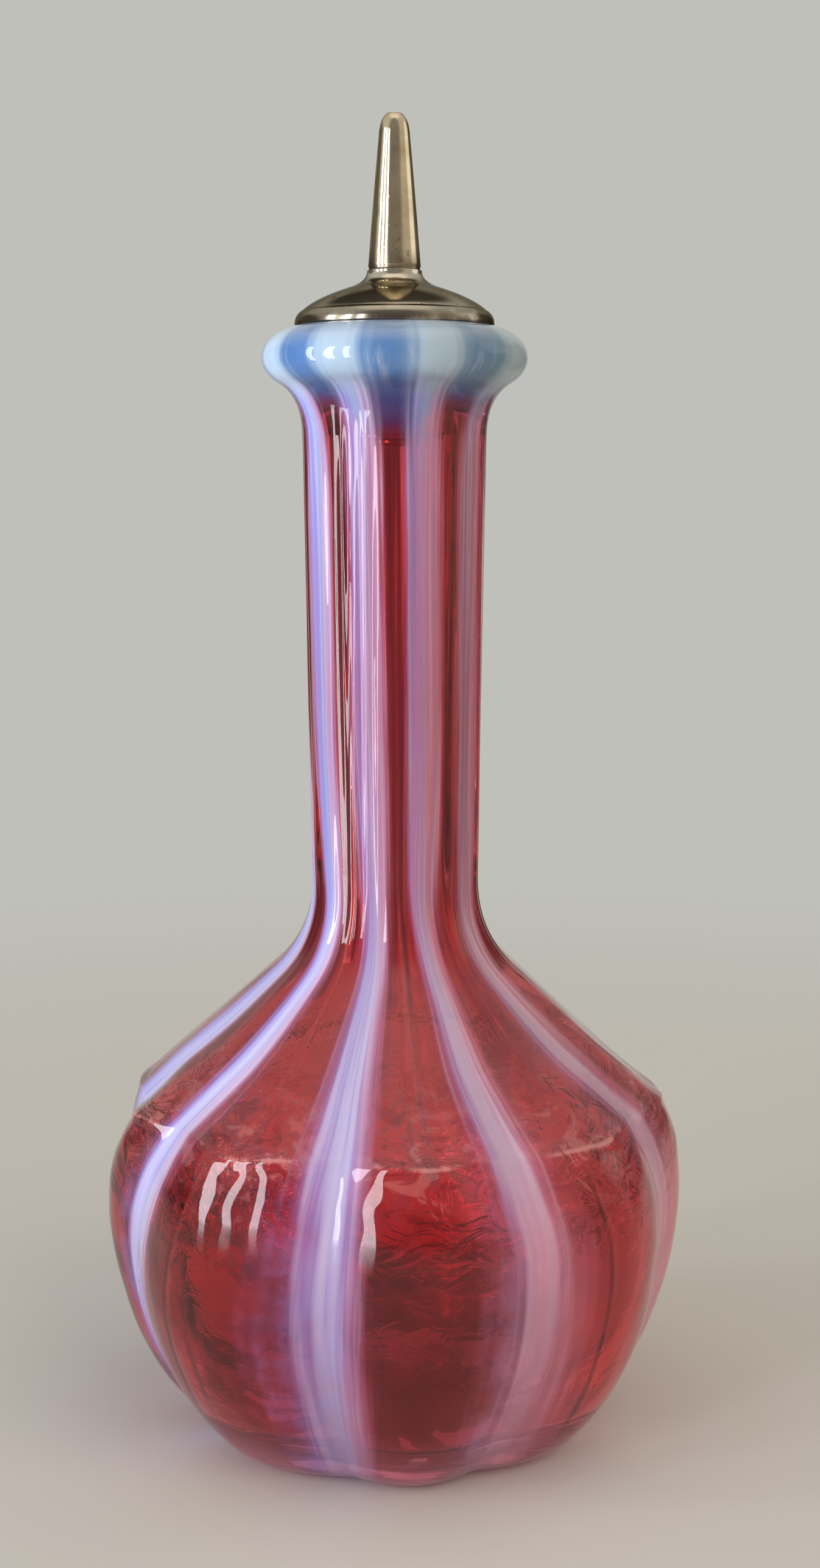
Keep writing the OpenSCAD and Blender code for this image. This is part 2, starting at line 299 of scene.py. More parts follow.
class Finish:
    """A material built around one shader, with short ways to add its nodes."""

    def __init__(self, name):
        self.material = bpy.data.materials.new(name)
        self.material.use_nodes = True
        self.tree = self.material.node_tree
        self.shader = self.tree.nodes["Principled BSDF"]
        self.place = self.add("ShaderNodeTexCoord").outputs["Object"]
        self.z = self.add("ShaderNodeSeparateXYZ", {"Vector": self.place}).outputs["Z"]

    def feed(self, node, key, value):
        """Give an input a value, or link it to another node."""
        if isinstance(value, bpy.types.NodeSocket):
            self.tree.links.new(value, node.inputs[key])
        else:
            node.inputs[key].default_value = value

    def add(self, kind, inputs=None, **settings):
        """A new node with its inputs and settings."""
        node = self.tree.nodes.new(kind)
        for key, value in settings.items():
            setattr(node, key, value)
        for key, value in (inputs or {}).items():
            self.feed(node, key, value)
        return node

    def set(self, **inputs):
        """Feed the shader's own inputs."""
        for key, value in inputs.items():
            self.feed(self.shader, key.replace("_", " "), value)

    def calc(self, operation, a, b=0.0):
        """One step of arithmetic."""
        return self.add("ShaderNodeMath", {0: a, 1: b}, operation=operation).outputs[0]

    def fold(self, operation, values):
        """The same step of arithmetic along a row of values."""
        total = values[0]
        for value in values[1:]:
            total = self.calc(operation, total, value)
        return total

    def times(self, *values):
        """The product of the values."""
        return self.fold("MULTIPLY", values)

    def plus(self, *values):
        """The sum of the values."""
        return self.fold("ADD", values)

    def most(self, *values):
        """The largest of the values."""
        return self.fold("MAXIMUM", values)

    def ease(self, value, low, high, start=0.0, end=1.0, kind="SMOOTHSTEP"):
        """A level that goes from start to end while the value goes from low to high."""
        inputs = {"Value": value, "From Min": low, "From Max": high, "To Min": start, "To Max": end}
        return self.add("ShaderNodeMapRange", inputs, interpolation_type=kind).outputs[0]

    def mix(self, share, a, b):
        """Colour a, with a share of colour b over it."""
        return self.add("ShaderNodeMix", {0: share, 6: a, 7: b}, data_type="RGBA").outputs[2]

    def ramp(self, value, stops):
        """A colour ramp whose stops are (place from 0 to 1, colour or grey level)."""
        node = self.add("ShaderNodeValToRGB", {"Fac": value})
        band = node.color_ramp
        while len(band.elements) < len(stops):
            band.elements.new(0.5)
        for element, (place, colour) in zip(band.elements, stops):
            element.position = place
            element.color = colour if isinstance(colour, tuple) else (colour, colour, colour, 1)
        return node.outputs["Color"]

    def by_height(self, stops):
        """A ramp up the piece, whose stops are (height, colour or level)."""
        low, high = stops[0][0], stops[-1][0]
        share = self.ease(self.z, low, high, kind="LINEAR")
        return self.ramp(share, [((z - low) / (high - low), value) for z, value in stops])

    def noise(self, scale, detail=2.0, roughness=0.5, stretch=(1, 1, 1), place=None, twist=0.0):
        """Cloudy levels around 0.5, at so many to the metre."""
        place = self.add("ShaderNodeMapping", {"Vector": place or self.place, "Scale": stretch}).outputs[0]
        return self.add("ShaderNodeTexNoise", {
            "Vector": place, "Scale": scale, "Detail": detail, "Roughness": roughness,
            "Distortion": twist}).outputs["Fac"]

    def bump(self, height, depth, under=None):
        """A surface that levels from 0 to 1 raise by a depth in metres, over another such surface."""
        inputs = {"Height": height, "Distance": depth, "Strength": 1.0}
        if under is not None:
            inputs["Normal"] = under
        return self.add("ShaderNodeBump", inputs).outputs[0]


glass_ior = 1.5


def striped_skin():
    """Ruby-cased glass whose ribs have struck milky, with a lip struck all over.

    Front and right go from -1 to 1 round the bottle. Heights are in metres.
    """
    glass = Finish("striped_skin")
    mark = glass.add("ShaderNodeAttribute", attribute_name="rib_turn").outputs["Vector"]
    front, right, ring_z = glass.add("ShaderNodeSeparateXYZ", {"Vector": mark}).outputs
    turn = glass.times(glass.calc("ARCTAN2", right, front), lobe_count / (2 * math.pi))

    def phase(shift):
        """Where a point is between a line beside the nearest rib, at 0, and the next one, at a full turn."""
        return glass.times(glass.plus(glass.calc("SUBTRACT", turn, shift), 0.5), 2 * math.pi)

    def away(turned):
        """How far a point is from that line, as a share of the lobes' pitch."""
        return glass.calc("DIVIDE", glass.calc("ARCCOSINE", glass.calc("COSINE", turned)), 2 * math.pi)

    grain = glass.add("ShaderNodeCombineXYZ", {"X": front, "Y": right, "Z": glass.z}).outputs[0]
    streak = glass.noise(13, 2, 0.5, (1, 1, 0.6), grain)
    fine = glass.calc("SUBTRACT", glass.noise(30, 2, 0.5, (1, 1, 0.8), grain), 0.5)
    wander = glass.calc("SUBTRACT", glass.noise(6, 2, 0.5, (1, 1, 5), grain), 0.5)
    wisps = glass.noise(9, 4, 0.6, (1, 1, 9), grain)
    uneven = glass.plus(glass.times(wander, 0.14), glass.times(fine, 0.16))
    # Painted light: the right side is painted as in shade and the left as lit by the window. The stripes,
    # veils and lip below take lit and shaded colours from these
    shade_side = glass.ease(right, -0.3, 0.8)
    lit_side = glass.calc("SUBTRACT", 1.0, glass.times(shade_side, 0.7))
    sideways = glass.calc("ABSOLUTE", right)

    # The stripes: firm and narrow round the belly, with a veil on their left, and wide up the neck
    lean = glass.by_height([(0, 0.02), (0.02, 0.035), (0.045, 0.025), (0.06, 0.0), (0.07, 0.0)])
    turned = phase(lean)
    edge = glass.plus(away(turned), uneven)
    soft = glass.by_height([
        (0, 0.36), (0.01, 0.3), (0.028, 0.24), (0.044, 0.23), (0.058, 0.27), (0.07, 0.32), (0.084, 0.38),
        (0.1, 0.41), (0.15, 0.41), (glass_h, 0.43)])
    core = glass.by_height([
        (0, 0.16), (0.074, 0.16), (0.092, 0.45), (0.104, 0.55), (0.152, 0.55), (0.163, 0.3), (glass_h, 0.16)])
    stripe = glass.ease(edge, glass.times(soft, core), soft, 1.0, 0.0)
    # How milky the stripes are by height, and also painted stronger on the lit far left and weaker on the
    # shaded right
    milky = glass.times(
        glass.by_height([
            (0, 0.5), (0.02, 0.68), (0.04, 0.8), (0.055, 0.92), (0.075, 0.9), (0.09, 0.76), (0.12, 0.68),
            (0.158, 0.78), (0.166, 0.9), (glass_h, 0.95)]),
        glass.ease(right, -0.86, -0.42, 1.28, 1.03), glass.ease(right, -0.2, 0.8, 1.0, 0.82),
        glass.calc("SUBTRACT", 1.0, glass.times(
            shade_side, glass.by_height([(0, 0.15), (0.02, 0.14), (0.04, 0.1), (0.055, 0.0), (0.06, 0.0)]))))
    veil = glass.times(
        glass.ease(glass.plus(away(phase(-0.06)), uneven), 0.08, 0.29, 1.0, 0.0),
        glass.by_height([(0, 0.75), (0.01, 0.75), (0.03, 0.72), (0.044, 0.55), (0.055, 0.2), (0.066, 0.0)]),
        glass.ease(glass.noise(5, 3, 0.6, (1, 1, 26), grain), 0.35, 0.62, 0.4, 1.0))
    # Painted shade: a pink flush beside the stripes on the shaded right
    painted_shade_flush = glass.times(
        glass.ease(glass.plus(away(phase(0.02)), uneven), 0.06, 0.4, 1.0, 0.0), shade_side,
        glass.by_height([(0, 0.9), (0.02, 0.85), (0.04, 0.8), (0.055, 0.45), (0.07, 0.2), (0.085, 0.0)]))
    lit_milk = glass.ramp(stripe, [
        (0.0, paint("a878bc")), (0.4, paint("a48edc")), (0.75, paint("a6a2ec")), (1.0, paint("cac8f6"))])
    shaded_milk = glass.ramp(stripe, [
        (0.0, paint("b46c8c")), (0.4, paint("ac84b0")), (0.75, paint("ae9aca")), (1.0, paint("ccc0dc"))])
    milk = glass.mix(shade_side, lit_milk, shaded_milk)
    milk = glass.mix(glass.ease(glass.z, 0.07, 0.1, 0.0, 0.65), milk,
                     glass.mix(shade_side, paint("9cb0ec"), paint("98a4c4")))
    # Painted shade: the stripes on the shaded right of the belly are painted pink
    painted_shade_pink = glass.times(shade_side, glass.by_height([(0, 1.0), (0.036, 0.95), (0.055, 0.1), (0.066, 0.0)]))
    milk = glass.mix(painted_shade_pink, milk, paint("fcbcd4"))
    # Painted light on each stripe: bluer along its left edge where lit, pinker along its right edge in shade,
    # and blue flecks only on the lit side
    beside = glass.calc("SINE", turned)
    milk = glass.mix(glass.times(glass.ease(beside, -0.1, -0.8, 0.0, 0.55), lit_side), milk, paint("9a8ce8"))
    milk = glass.mix(glass.ease(beside, 0.1, 0.8, 0.0, 0.5), milk, paint("e49cb2"))
    milk = glass.mix(glass.times(glass.ease(fine, 0.02, 0.16, 0.0, 0.4), lit_side), milk, paint("9c8cdc"))
    milk = glass.mix(glass.ease(fine, -0.04, -0.18, 0.0, 0.4), milk, paint("e6e0fc"))

    # The lip: soft white ribs with blue windows between them, which turn violet and then red below it
    lip = glass.ease(glass.z, 0.1645, 0.1695)
    white = glass.ease(glass.plus(edge, glass.times(wander, 0.2)), 0.1, 0.42, 1.0, 0.0)
    # The lip is painted bluer and lighter on the lit left and greyer on the shaded right
    ice = glass.mix(white, glass.mix(shade_side, paint("6496dc"), paint("7696b0")),
                    glass.mix(shade_side, paint("bcd6f0"), paint("aabcc4")))
    ice = glass.mix(glass.ease(wisps, 0.52, 0.72, 0.0, 0.5), ice, paint("d6e6f6"))
    ice = glass.mix(glass.ease(glass.z, 0.1725, glass_h, 0.0, 0.6), ice, paint("cddef2"))

    # The ruby: clear and deep, dustier on the shoulder, in drawn streaks up the neck whose brightest are
    # painted light shining through
    ruby = glass.by_height([
        (0, paint("ee4a56")), (0.02, paint("e83440")), (0.034, paint("d41c28")), (0.045, paint("da2c36")),
        (shoulder_z, paint("e66c70")), (0.07, paint("dc686c")), (neck_root_z, paint("e4484c")),
        (0.1, paint("ec343a")), (glass_h, paint("ec343a"))])
    drawn = glass.by_height([
        (0.054, 0.0), (0.064, 0.25), (0.078, 0.45), (0.095, 0.85), (0.157, 0.85), (0.162, 0.0)])
    streaks_and_painted_light = glass.ramp(streak, [
        (0.34, paint("a80c14")), (0.45, paint("dc1e26")), (0.58, paint("f03036")), (0.66, paint("ff8074"))])
    ruby = glass.mix(drawn, ruby, streaks_and_painted_light)
    # Painted shade: dark mottling on the belly below the corner, standing in for dark surroundings seen
    # through the glass, weaker on the right
    painted_dark_mottle = glass.times(
        glass.ease(glass.noise(75, 3, 0.6, (1, 1, 1.5)), 0.46, 0.6),
        glass.by_height([(0.012, 0.0), (0.03, 0.5), (0.042, 0.85), (0.05, 0.6), (0.056, 0.0)]),
        glass.ease(right, 0.35, 0.7, 1.0, 0.2))
    ruby = glass.mix(painted_dark_mottle, ruby, paint("7e0e16"))
    # Painted light: a brighter, clearer red on the right of the belly
    painted_bright_side = glass.times(
        glass.ease(right, 0.4, 0.65),
        glass.by_height([(0, 0.4), (0.02, 0.8), (0.044, 0.8), (0.056, 0.0), (0.06, 0.0)]))
    ruby = glass.mix(painted_bright_side, ruby, paint("fa3840"))

    # The corner under the shoulder: a crinkled belt painted with dark patches of shade and pale glints of
    # light, and a painted highlight along each lobe's edge
    belt = glass.by_height([(0.044, 0.0), (0.05, 0.7), (0.056, 1.0), (0.062, 0.6), (0.068, 0.0)])
    crinkle = glass.noise(150, 3, 0.6, (1, 1, 1.4), twist=1.4)
    painted_crinkle_glints = glass.times(glass.ease(crinkle, 0.54, 0.62), belt)
    ruby = glass.mix(glass.times(glass.ease(crinkle, 0.42, 0.36), belt, 0.55), ruby, paint("8c141c"))
    ruby = glass.mix(glass.times(painted_crinkle_glints, 0.7), ruby, paint("ffaaa6"))
    off_corner = glass.calc("ABSOLUTE", glass.calc("SUBTRACT", ring_z, shoulder_z))
    painted_corner_highlight = glass.times(
        glass.ease(off_corner, 0.1 * MM, 0.55 * MM, 1.0, 0.0),
        glass.ease(away(phase(0.0)), 0.12, 0.26), glass.ease(crinkle, 0.38, 0.58, 0.15, 1.0))
    ruby = glass.mix(glass.times(painted_corner_highlight, 0.8), ruby, paint("ffb4b0"))

    # A dark line painted as shade down the side lobes where the inside is pinched, with a painted glint of
    # light beside it
    painted_pinch_lines = glass.times(
        glass.ease(sideways, 0.3, 0.5),
        glass.by_height([(0.004, 0.0), (0.012, 1.0), (0.046, 1.0), (0.054, 0.0)]),
        glass.ease(wisps, 0.32, 0.5, 0.3, 1.0))
    for line, width, strength, tone in ((0.385, 0.024, 0.55, "ff8c88"), (0.36, 0.02, 0.9, "42080e")):
        off_line = glass.plus(away(phase(line)), glass.times(wander, 0.02))
        line_share = glass.times(glass.ease(off_line, 0.006, width, strength, 0.0), painted_pinch_lines)
        ruby = glass.mix(line_share, ruby, paint(tone))

    # The throat, where the red goes over into the lip, the milk that clouds the ruby elsewhere, and pale pink
    # painted light along the far right edge
    side_lift = glass.ease(sideways, 0.2, 0.5, 0.0, 5 * MM)
    throat = glass.ease(glass.calc("SUBTRACT", glass.z, side_lift), 0.157, 0.162)
    dusk = glass.by_height([(0.157, paint("8c1c34")), (0.161, paint("70306c")), (0.165, paint("4c4a9c"))])
    ruby = glass.mix(throat, ruby, dusk)
    haze = glass.by_height([
        (0, 0.2), (0.006, 0.1), (0.014, 0.0), (belly_z, 0.0), (0.048, 0.05), (0.058, 0.15), (0.078, 0.13),
        (0.095, 0.0), (glass_h, 0.0)])
    # Painted light: a pale pink wash along the far right edge of the belly
    painted_edge_light = glass.times(
        glass.ease(right, 0.6, 0.95),
        glass.by_height([(0, 0.5), (0.03, 0.45), (0.06, 0.3), (0.08, 0.0), (0.09, 0.0)]),
        glass.ease(wisps, 0.3, 0.65, 0.5, 1.0))
    foot_milk = glass.by_height([(0, 0.65), (0.003, 0.55), (0.007, 0.3), (0.013, 0.0)])

    struck = glass.times(stripe, milky)
    colour = glass.mix(foot_milk, ruby, paint("e09cc0"))
    colour = glass.mix(painted_edge_light, colour, paint("f0a0ac"))
    # The veil is painted violet on the lit left and pink on the shaded right
    colour = glass.mix(veil, colour, glass.mix(shade_side, paint("a884d4"), paint("cc8cb0")))
    colour = glass.mix(painted_shade_flush, colour, paint("f096b0"))
    colour = glass.mix(struck, colour, milk)
    colour = glass.mix(lip, colour, ice)
    cloud = glass.most(
        haze, painted_edge_light, glass.times(painted_crinkle_glints, 0.25), glass.times(painted_corner_highlight, 0.42),
        glass.times(struck, 0.88), glass.times(veil, 0.55), glass.times(painted_shade_flush, 0.68),
        glass.times(foot_milk, 0.5), glass.times(throat, 0.45),
        glass.times(lip, glass.ease(white, 0.0, 1.0, 0.7, 0.9)))
    glass.set(
        Base_Color=colour,
        Transmission_Weight=glass.calc("SUBTRACT", 1.0, cloud),
        Roughness=glass.ease(cloud, 0.1, 0.9, 0.012, 0.035),
        IOR=glass_ior,
        Normal=glass.bump(glass.noise(80, 2, 0.5), 0.00018))
    return glass.material


def ruby_lining():
    """The inside face of the glass: a light wash of ruby, gone at the lip, with dark flecks of painted shade
    and pale flecks of painted light where it is crumpled.
    """
    wash = Finish("ruby_lining")
    ruby = wash.by_height([
        (0, paint("eca4aa")), (belly_z, paint("f0b4b8")), (0.075, paint("f2bec0")), (0.1, paint("f6cccc")),
        (0.155, paint("f6cccc")), (0.1675, paint("ffffff"))])
    crumple = wash.noise(170, 3, 0.55, (1, 1, 1.6), twist=1.0)
    corner = wash.by_height([
        (0, 0.05), (0.036, 0.2), (0.046, 1.0), (0.06, 1.0), (0.066, 0.2), (0.075, 0.0), (glass_h, 0.0)])
    painted_dark_flecks = wash.times(wash.ease(crumple, 0.38, 0.3), corner)
    painted_light_flecks = wash.times(wash.ease(crumple, 0.6, 0.7), corner)
    ruby = wash.mix(wash.times(painted_dark_flecks, 0.6), ruby, paint("8c3038"))
    ruby = wash.mix(wash.times(painted_light_flecks, 0.8), ruby, paint("ffe6e2"))
    wash.set(
        Base_Color=ruby, Transmission_Weight=1.0, Roughness=0.02, IOR=glass_ior,
        Normal=wash.bump(wash.times(crumple, corner), 0.0007))
    return wash.material


bottle = blown("bottle_glass", outside, lining)
bottle.data.materials.append(striped_skin())
bottle.data.materials.append(ruby_lining())
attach(bottle, "bottle")
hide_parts("bottle")


# The cork: a sleeve cut from natural cork across its grain, bored for the stem and pushed into the neck.
# Its ends are eased so that it starts in the mouth, and its pores show as dark flecks.
cork_low, cork_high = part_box("cork")
neck_play = 0.03 * MM
cork_r, cork_hole_r = cork_high.x - neck_play, 3.05 * MM
pit_size, pit_depth = 1.6 * MM, 0.12 * MM


def lathe(name, outline, sides, stray=None):
    """A closed piece turned from an outline of (radius, height) points that goes once round its section."""
    points = []
    for r, z in outline:
        for i in range(sides):
            a = 2 * math.pi * i / sides
            here = r + (stray(a, r, z) if stray else 0)
            points.append((here * math.sin(a), -here * math.cos(a), z))
    rows, faces = len(outline), []
    for k in range(rows):
        low, high = k * sides, (k + 1) % rows * sides
        faces += [(low + i, low + (i + 1) % sides, high + (i + 1) % sides, high + i) for i in range(sides)]
    return as_piece(name, points, faces)


class Section:
    """Half the section of a turned piece, drawn by a pen that goes once round it as (radius, height)."""

    def __init__(self, start):
        self.points, self.pen = [], start

    def line(self, end, steps):
        """Draw straight to a point."""
        for i in range(steps):
            self.points.append(tuple(self.pen[k] + (end[k] - self.pen[k]) * i / steps for k in (0, 1)))
        self.pen = end

    def curve(self, mid, end, steps):
        """Draw to a point on a curve that leaves and arrives along the lines through mid."""
        self.points += bend(self.pen, mid, end, steps)[:-1]
        self.pen = end


def bark():
    """Natural cork: warm and mottled, with dark pores that run across the sleeve."""
    grain = Finish("cork_bark")
    tone = grain.noise(320, 5, 0.6)
    pores = grain.ease(grain.noise(700, 3, 0.6, (1, 1, 0.35)), 0.62, 0.7)
    warm = grain.ramp(tone, [(0.3, paint("7a5230")), (0.5, paint("a87d52")), (0.7, paint("c49a6a"))])
    grain.set(
        Base_Color=grain.mix(pores, warm, paint("3c2414")),
        Roughness=grain.ease(tone, 0.3, 0.7, 0.9, 0.7),
        Normal=grain.bump(pores, -0.0003, grain.bump(tone, 0.0002)))
    return grain.material


def cork_stray(a, r, z):
    """How far the cork's side and ends are pitted. Its hole was bored clean."""
    spot = Vector((r * math.sin(a), r * math.cos(a), z))
    return -pit_depth * max(0, noise.noise(spot / pit_size)) if r > cork_hole_r * 1.1 else 0


ease_end = 0.6 * MM
cork_section = Section((cork_hole_r, cork_high.z))
cork_section.line((cork_hole_r, cork_low.z), 4)
cork_section.line((cork_r - ease_end, cork_low.z), 5)
cork_section.curve((cork_r, cork_low.z), (cork_r, cork_low.z + ease_end), 4)
cork_section.line((cork_r, cork_high.z - ease_end), 30)
cork_section.curve((cork_r, cork_high.z), (cork_r - ease_end, cork_high.z), 4)
cork_section.line((cork_hole_r, cork_high.z), 5)
cork = lathe("cork_sleeve", cork_section.points, sides=128, stray=cork_stray)
cork.data.materials.append(bark())
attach(cork, "cork")
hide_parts("cork")


# The washer: a disc stamped from plated sheet, slid up the stem against the cork. Stamping leaves its
# edges a little rounded.
washer_low, washer_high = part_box("cork_washer")
washer_r, stem_r = washer_high.x, 3 * MM
press_r = stem_r + 0.02 * MM


def plate(name, brightest, darkest, marks, tarnish_and_reflection_z, rubbed_z):
    """Polished nickel plate gone warm with handling.

    Marks stretch the polishing lines. Tarnish gathers just above its height, where on the dome's rim it is
    also a painted dark reflection, and a tip is dull above its own.
    """
    metal = Finish(name)
    tone = metal.noise(240, 4, 0.6)
    spots = metal.ease(metal.noise(900, 2, 0.5), 0.66, 0.72)
    # The dark band: tarnish, and on the dome's rim also a painted dark reflection
    low = metal.times(
        metal.ease(metal.z, tarnish_and_reflection_z, tarnish_and_reflection_z + 5 * MM, 1.0, 0.0), metal.ease(tone, 0.25, 0.55))
    worn = metal.ramp(tone, [(0.3, paint(darkest)), (0.62, paint(brightest))])
    worn = metal.mix(metal.times(low, 0.9), worn, paint("4e4034"))
    worn = metal.mix(metal.times(spots, 0.5), worn, paint("4a4030"))
    lines = metal.noise(1500, 2, 0.6, marks)
    rough = metal.plus(
        metal.ease(tone, 0.3, 0.7, 0.14, 0.06), metal.times(low, 0.12),
        metal.ease(metal.z, rubbed_z, rubbed_z + 1 * MM, 0.0, 0.3), metal.times(spots, 0.2))
    metal.set(
        Base_Color=worn, Metallic=1.0, Roughness=rough, Specular_Tint=paint("8a857c"),
        Normal=metal.bump(lines, 0.000003))
    return metal.material


unrubbed_z = 0.25
hidden_plate = plate(
    "hidden_plate", "c6bca4", "9c9078", marks=(1, 1, 1), tarnish_and_reflection_z=0.15, rubbed_z=unrubbed_z)
washer_edge = 0.25 * MM
washer_mid = (washer_low.z + washer_high.z) / 2
washer_section = Section((press_r, washer_high.z))
washer_section.line((press_r, washer_low.z), 2)
washer_section.line((washer_r - washer_edge, washer_low.z), 4)
washer_section.curve((washer_r, washer_low.z), (washer_r, washer_mid), 4)
washer_section.curve((washer_r, washer_high.z), (washer_r - washer_edge, washer_high.z), 4)
washer_section.line((press_r, washer_high.z), 4)
washer = lathe("washer_disc", washer_section.points, sides=96)
washer.data.materials.append(hidden_plate)
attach(washer, "pourer")
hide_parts("cork_washer")


# The stem: a drawn tube through the cork. Its upper end is pressed into the spout, and its lower end is
# spread over the washer, which holds the cork up against the dome.
stem_low, stem_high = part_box("pourer_stem")
stem_bore_r, spread_r, spread_round = 2.3 * MM, stem_high.x, 0.3 * MM
stem_section = Section((stem_bore_r, stem_high.z))
stem_section.line((stem_bore_r, stem_low.z), 12)
stem_section.curve((stem_bore_r + 0.1 * MM, stem_low.z), (spread_r - spread_round, stem_low.z), 4)
stem_section.curve((spread_r, stem_low.z), (spread_r, washer_low.z - spread_round), 4)
stem_section.curve((spread_r, washer_low.z), (spread_r - spread_round, washer_low.z), 4)
stem_section.line((stem_r, washer_low.z), 2)
stem_section.line((stem_r, stem_high.z), 12)
stem_section.line((stem_bore_r, stem_high.z), 2)
stem = lathe("stem_tube", stem_section.points, sides=96)
stem.data.materials.append(hidden_plate)
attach(stem, "pourer")
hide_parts("pourer_stem")


# The dome: a shallow cap spun from plated sheet over a form, with a rolled rim that sits on the lip, a fine
# step above the rim and a collar drawn up in the middle. The rim is turned in underneath, and years of use
# have dented it a little.
dome_low, dome_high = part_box("pourer_dome")
dome_r, seat_z, collar_z = dome_high.x, dome_low.z, dome_high.z
dome_z, dome_lean = seat_z + 5.9 * MM, 0.95 * MM
hole_r = 4.12 * MM
collar_r = hole_r + 0.14 * MM
flare_r = hole_r + 3.05 * MM
flare = (flare_r, dome_z)
turn_p = (dome_r - dome_lean, seat_z + 0.6 * (dome_z - seat_z))
flare_mid = (collar_r, dome_z + (dome_z - turn_p[1]) * (flare_r - collar_r) / (turn_p[0] - flare_r))
rim_h, rim_round = 0.7 * MM, 0.35 * MM
collar_edge, collar_ease = 0.07 * MM, 0.15 * MM
arc_steps, step_share = 100, 0.28
step_in, step_drop = 0.16 * MM, 0.05 * MM


def dented(dents):
    """Small soft dents: (direction in degrees, height, width, depth), lengths in metres."""
    def stray(a, r, z):
        """How far a point is pushed in."""
        total = 0
        for turn, height, width, depth in dents:
            gap = Vector((r * (a - math.radians(turn % 360)), z - height)).length
            total -= depth * hill(gap, 0, width)
        return total
    return stray


dome_arc = bend((dome_r, seat_z + rim_h), turn_p, flare, arc_steps)
step_p = dome_arc[round(arc_steps * step_share)]
step_mid = tuple(turn_p[k] + step_share * (flare[k] - turn_p[k]) for k in (0, 1))
dome_section = Section((hole_r, collar_z - collar_ease))
dome_section.line((hole_r, seat_z), 8)
dome_section.line((dome_r - rim_round, seat_z), 8)
dome_section.curve((dome_r, seat_z), (dome_r, seat_z + rim_h / 2), 5)
dome_section.curve((dome_r, seat_z + 1.5 * MM), (step_p[0] + step_in, step_p[1] - step_drop), 12)
dome_section.curve((step_p[0] + 0.03 * MM, step_p[1] + 0.02 * MM), step_p, 4)
dome_section.curve(step_mid, flare, 24)
dome_section.curve(flare_mid, (collar_r, collar_z - collar_edge), 16)
dome_section.curve((collar_r, collar_z), (hole_r + collar_edge, collar_z), 3)
dome_section.curve((hole_r, collar_z), (hole_r, collar_z - collar_ease), 3)
dome_dents = dented([
    (-38, seat_z + 2.4 * MM, 2.2 * MM, 0.1 * MM), (22, seat_z + 3.6 * MM, 1.8 * MM, 0.08 * MM),
    (58, seat_z + 1.6 * MM, 1.5 * MM, 0.07 * MM), (140, seat_z + 2.8 * MM, 2.5 * MM, 0.1 * MM),
    (232, seat_z + 2.0 * MM, 2.0 * MM, 0.09 * MM)])
dome = lathe("dome_cap", dome_section.points, sides=192, stray=dome_dents)
# The darkened band just above the rim is tarnish and also a painted dark reflection
dome.data.materials.append(plate(
    "spun_plate", "f0e6d3", "d0c4ad", marks=(0.12, 0.12, 3), tarnish_and_reflection_z=seat_z - 0.8 * MM,
    rubbed_z=unrubbed_z))
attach(dome, "pourer")
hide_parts("pourer_dome")


# The spout: a tapered tube drawn from plated sheet, closed to a small pouring hole at its rounded tip and
# soldered into the dome's collar. A fine groove shows where they meet, and tarnish gathers there.
spout_low, spout_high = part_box("pourer_spout")
tip_z, spout_base_r, tip_r = spout_high.z, 4.1 * MM, 2.35 * MM
tip_round, spout_t = 2.6 * MM, 0.7 * MM
pour_r, pour_edge, pour_ease = 0.9 * MM, 0.25 * MM, 0.3 * MM
round_z = tip_z - tip_round
brow = (tip_r - 0.8 * MM, tip_z - 0.42 * MM)
groove_z, groove_in = collar_z + 0.35 * MM, 0.25 * MM
taper_mid = ((spout_base_r + tip_r) / 2 + 0.08 * MM, (groove_z + round_z) / 2)
spout_section = Section((pour_r, tip_z - pour_ease))
spout_section.line((pour_r, round_z), 2)
spout_section.line((tip_r - spout_t, round_z - tip_r), 3)
spout_section.line((press_r, stem_high.z), 10)
spout_section.line((press_r, spout_low.z), 4)
spout_section.line((spout_base_r, spout_low.z), 2)
spout_section.line((spout_base_r, collar_z), 4)
spout_section.curve((spout_base_r - groove_in, groove_z), (spout_base_r - 0.02 * MM, groove_z + 0.3 * MM), 5)
spout_section.line((spout_base_r - 0.06 * MM, groove_z + 0.7 * MM), 1)
spout_section.curve(taper_mid, (tip_r, round_z), 30)
spout_section.curve((tip_r - 0.22 * MM, tip_z - 1 * MM), brow, 8)
spout_section.curve((tip_r - 1.12 * MM, tip_z), (pour_r + pour_edge, tip_z), 5)
spout_section.curve((pour_r, tip_z), (pour_r, tip_z - pour_ease), 4)
spout_dents = dented([
    (-62, collar_z + 8.6 * MM, 0.7 * MM, 0.05 * MM), (20, collar_z + 15 * MM, 1.2 * MM, 0.02 * MM),
    (95, collar_z + 5 * MM, 1.0 * MM, 0.03 * MM), (200, collar_z + 11 * MM, 1.4 * MM, 0.03 * MM)])
spout = lathe("spout_nozzle", spout_section.points, sides=128, stray=spout_dents)
spout.data.materials.append(plate(
    "drawn_plate", "f4e4c6", "d4c2a0", marks=(1, 1, 0.04), tarnish_and_reflection_z=collar_z - 1 * MM,
    rubbed_z=tip_z - 1.2 * MM))
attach(spout, "pourer")
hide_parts("pourer_spout")


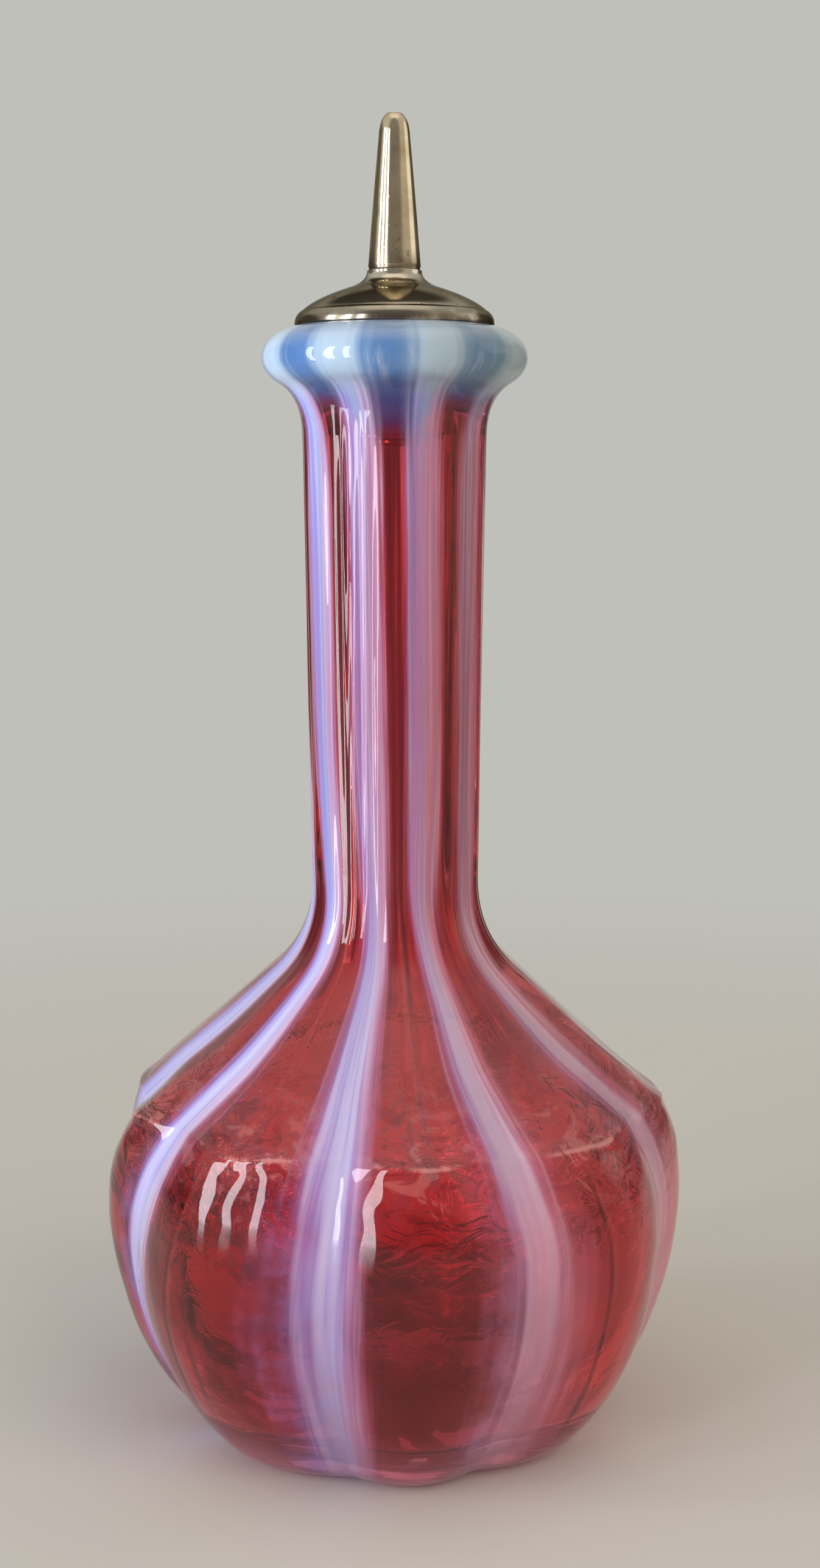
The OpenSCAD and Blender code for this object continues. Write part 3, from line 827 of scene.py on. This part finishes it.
# The room: a pale floor that fades into a pale grey backdrop, window light from the left in three tall
# strips, and a soft warm fill from the right.
floor_reach, fade_start, fade_end = 0.6, 0.16, 0.5
floor_corners = [(x * floor_reach, y * floor_reach, 0) for x, y in ((-1, -1), (1, -1), (1, 1), (-1, 1))]
floor = as_piece("floor", floor_corners, [(0, 1, 2, 3)])
ground = Finish("floor_paint")
ground.set(Base_Color=paint("dcdad5"), Roughness=0.8)
floor_away = ground.add("ShaderNodeVectorMath", {0: ground.place}, operation="LENGTH").outputs["Value"]
ground_fade = ground.add("ShaderNodeMixShader", {
    0: ground.ease(floor_away, fade_start, fade_end), 1: ground.shader.outputs[0],
    2: ground.add("ShaderNodeBsdfTransparent").outputs[0]}).outputs[0]
ground.tree.links.new(ground_fade, ground.tree.nodes["Material Output"].inputs["Surface"])
floor.data.materials.append(ground.material)


class Backdrop(Finish):
    """The world, with the same short ways to add its nodes."""

    def __init__(self, name):
        self.world = bpy.data.worlds.new(name)
        self.world.use_nodes = True
        self.tree = self.world.node_tree
        self.shader = self.tree.nodes["Background"]


# Each zone of the backdrop: the way to its middle, the cosines where it starts and is full, and its tone
sky_zones = (
    ((0.82, 0.57, 0), 0.86, 0.95, "6a665f"), ((-0.82, 0.57, 0), 0.86, 0.95, "6a665f"),
    ((0, -0.1, 0.99), 0.84, 0.94, "f2ecdf"), ((0.7, -0.7, 0.1), 0.6, 0.85, "b8b0a2"),
    ((-0.12, -0.93, 0.35), 0.66, 0.9, "807c77"), ((0.95, 0.07, 0.3), 0.93, 0.985, "f6f2e8"),
    ((0, 0.57, 0.82), 0.9, 0.96, "45423c"))
studio = Backdrop("studio")
sky_way = studio.add("ShaderNodeTexCoord").outputs["Generated"]
sky_tone = paint("c0c0ba")
for middle, start, full, tone in sky_zones:
    facing = studio.add("ShaderNodeVectorMath", {0: sky_way, 1: middle}, operation="DOT_PRODUCT")
    sky_tone = studio.mix(studio.ease(facing.outputs["Value"], start, full), sky_tone, paint(tone))
studio.set(Color=sky_tone)
bpy.context.scene.world = studio.world


def lamp(name, place, aim, width, height, power, colour):
    """A soft lamp with a flat face, aimed at a point, which the camera doesn't see."""
    light = bpy.data.lights.new(name, "AREA")
    light.shape = "RECTANGLE"
    light.size, light.size_y = width, height
    light.energy = power
    light.color = paint(colour)[:3]
    piece = bpy.data.objects.new(name, light)
    piece.location = place
    piece.rotation_euler = (Vector(aim) - Vector(place)).to_track_quat("-Z", "Y").to_euler()
    piece.visible_camera = False
    bpy.context.scene.collection.objects.link(piece)
    return piece


window_turn, window_pitch, window_far, window_z = -64, 19, 1.18, 0.14
for i in (-1, 0, 1):
    side = math.radians(window_turn + window_pitch * i)
    stand = (window_far * math.sin(side), -window_far * math.cos(side), window_z)
    lamp(f"window_{i + 1}", stand, (0, 0, window_z), width=0.15, height=1.1, power=5, colour="f6f7ff")
fill = lamp("fill", (0.7, -1.0, 0.75), (0, 0, 0.1), width=1.2, height=1.0, power=7, colour="fff3e2")
fill.visible_glossy = False

# The camera stands a little to the left of the front lobe and looks slightly down
view_turn = math.radians(6)
camera_far, camera_z, camera_side, pitch = 338 * MM, 153 * MM, 2.4 * MM, math.radians(8.1)
photo_long_side, focal_pixels = 2576, 3500
camera = bpy.data.objects.new("camera", bpy.data.cameras.new("camera"))
bpy.context.scene.collection.objects.link(camera)
camera.data.sensor_width = 36
camera.data.lens = camera.data.sensor_width * focal_pixels / photo_long_side
camera.location = (
    -camera_far * math.sin(view_turn) + camera_side * math.cos(view_turn),
    -camera_far * math.cos(view_turn) - camera_side * math.sin(view_turn),
    camera_z)
camera.rotation_euler = (math.pi / 2 - pitch, 0, -view_turn)
camera.data.clip_start = 0.01
bpy.context.scene.camera = camera
bpy.context.scene.view_settings.view_transform = "Standard"
